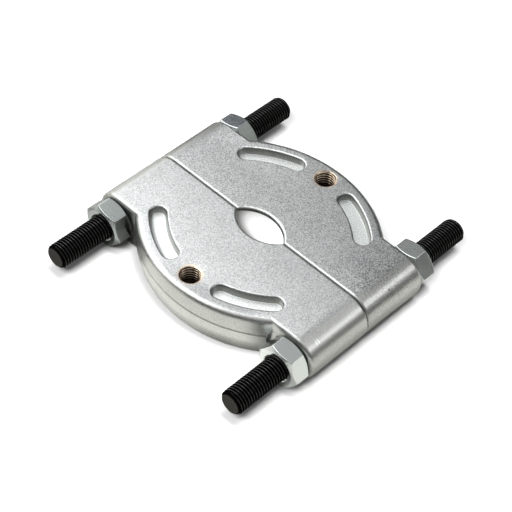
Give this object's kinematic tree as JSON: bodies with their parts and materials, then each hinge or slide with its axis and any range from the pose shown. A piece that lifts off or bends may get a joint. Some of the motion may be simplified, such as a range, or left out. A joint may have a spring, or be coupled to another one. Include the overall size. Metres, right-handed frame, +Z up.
{
  "type": "bearing separator",
  "caption": "Split steel plate with a knife-edged central opening, its halves drawn together by nuts on side studs to grip behind a bearing for pulling.",
  "frame": {"origin": "bottom centre of the closed tool, on the split between the halves", "axes": "+X along the split, +Y along the studs towards the far half, +Z up from the underside"},
  "size_m": [0.18, 0.196, 0.032],
  "materials": {
    "near_half_steel": "satin blasted zinc plate on forged steel",
    "far_half_steel": "satin blasted zinc plate on forged steel, greyer",
    "stud_black_oxide": "oiled black oxide",
    "nut_zinc": "smooth bright zinc plate"
  },
  "bodies": {
    "studs": {"left_stud": "stud_black_oxide", "right_stud": "stud_black_oxide"},
    "near_half": {"near_half": "near_half_steel"},
    "far_half": {"far_half": "far_half_steel"},
    "near_left_nut": {"near_left_nut": "nut_zinc"},
    "near_right_nut": {"near_right_nut": "nut_zinc"},
    "far_left_nut": {"far_left_nut": "nut_zinc"},
    "far_right_nut": {"far_right_nut": "nut_zinc"}
  },
  "joints": [
    {"name": "near_slide", "type": "slide", "parent": "studs", "child": "near_half", "axis": [0, -1, 0], "range_m": [0, 0.036]},
    {"name": "far_slide", "type": "slide", "parent": "studs", "child": "far_half", "axis": [0, 1, 0], "range_m": [0, 0.036]},
    {"name": "near_left_nut_turn", "type": "hinge", "parent": "near_half", "child": "near_left_nut", "pos_m": [-0.074, -0.0548, 0.016], "axis": [0, -1, 0], "continuous": true},
    {"name": "near_right_nut_turn", "type": "hinge", "parent": "near_half", "child": "near_right_nut", "pos_m": [0.074, -0.0548, 0.016], "axis": [0, -1, 0], "continuous": true},
    {"name": "far_left_nut_turn", "type": "hinge", "parent": "far_half", "child": "far_left_nut", "pos_m": [-0.074, 0.0548, 0.016], "axis": [0, 1, 0], "continuous": true},
    {"name": "far_right_nut_turn", "type": "hinge", "parent": "far_half", "child": "far_right_nut", "pos_m": [0.074, 0.0548, 0.016], "axis": [0, 1, 0], "continuous": true}
  ],
  "couplings": [
    {"joint": "near_left_nut_turn", "follows": "near_slide", "rad_per_m": 3141.6},
    {"joint": "near_right_nut_turn", "follows": "near_slide", "rad_per_m": 3141.6},
    {"joint": "far_left_nut_turn", "follows": "far_slide", "rad_per_m": 3141.6},
    {"joint": "far_right_nut_turn", "follows": "far_slide", "rad_per_m": 3141.6}
  ]
}
